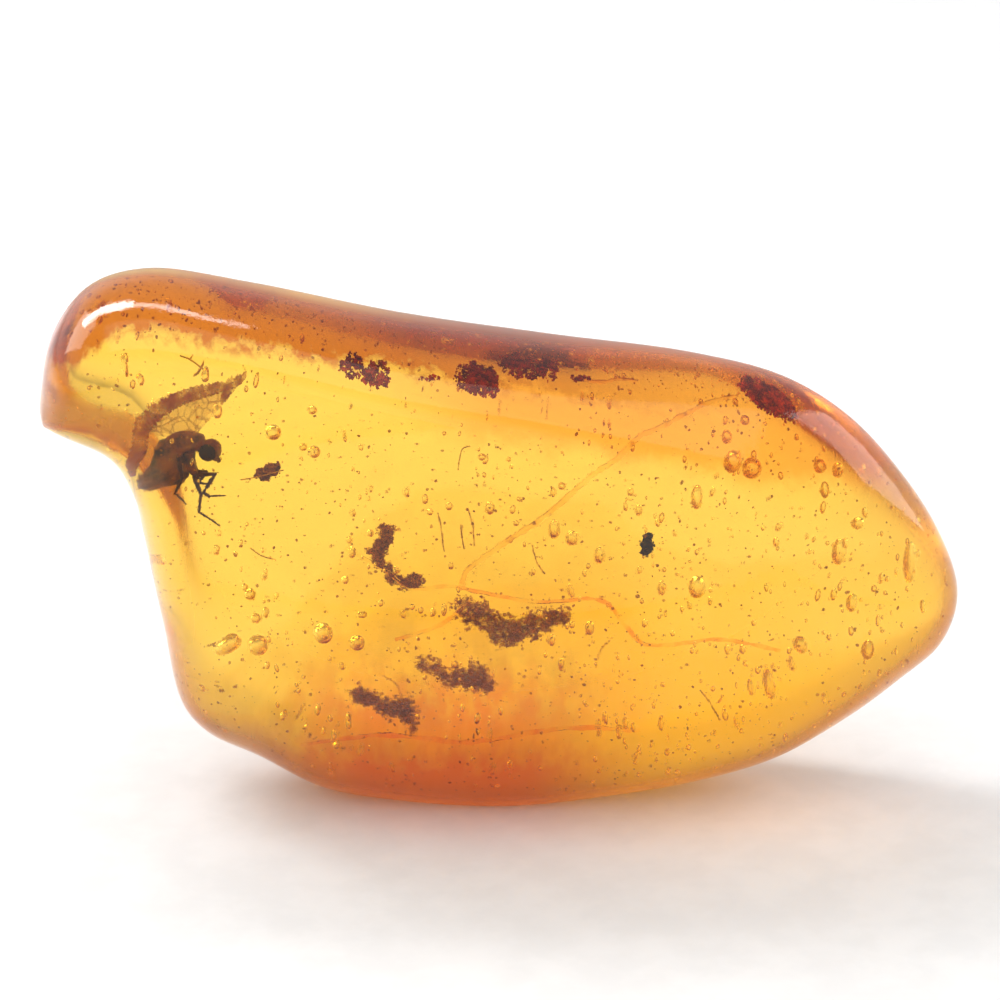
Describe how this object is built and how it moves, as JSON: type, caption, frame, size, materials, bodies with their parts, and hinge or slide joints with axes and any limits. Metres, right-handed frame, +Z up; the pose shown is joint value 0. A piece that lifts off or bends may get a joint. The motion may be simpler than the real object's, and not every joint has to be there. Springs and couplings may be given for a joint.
{
  "type": "insect in amber fossil",
  "caption": "Polished honey-coloured amber pebble standing on its long edge, with a winged insect, bubbles and plant debris sealed inside.",
  "frame": {"origin": "on the surface the stone rests on, under the middle of its length and depth", "axes": "+X along the stone from the lobed end to the pointed end, -Y out of the broad front face, +Z up"},
  "size_m": [0.0459, 0.0147, 0.0265],
  "materials": {
    "amber": "clear polished amber, honey yellow through the faces and orange to red-brown round the edges",
    "insect": "dark brown chitin with a satin sheen and golden wings",
    "bark": "rough red-brown bark",
    "grain": "charred, nearly black",
    "plant_debris": "crumbly olive-brown plant matter"
  },
  "bodies": {
    "root": {"amber_front": "amber", "amber_back": "amber", "insect": "insect", "bark_flake": "bark", "dark_grain": "grain", "debris_upper": "plant_debris", "debris_middle": "plant_debris", "debris_lower": "plant_debris", "debris_left": "plant_debris"}
  },
  "joints": []
}
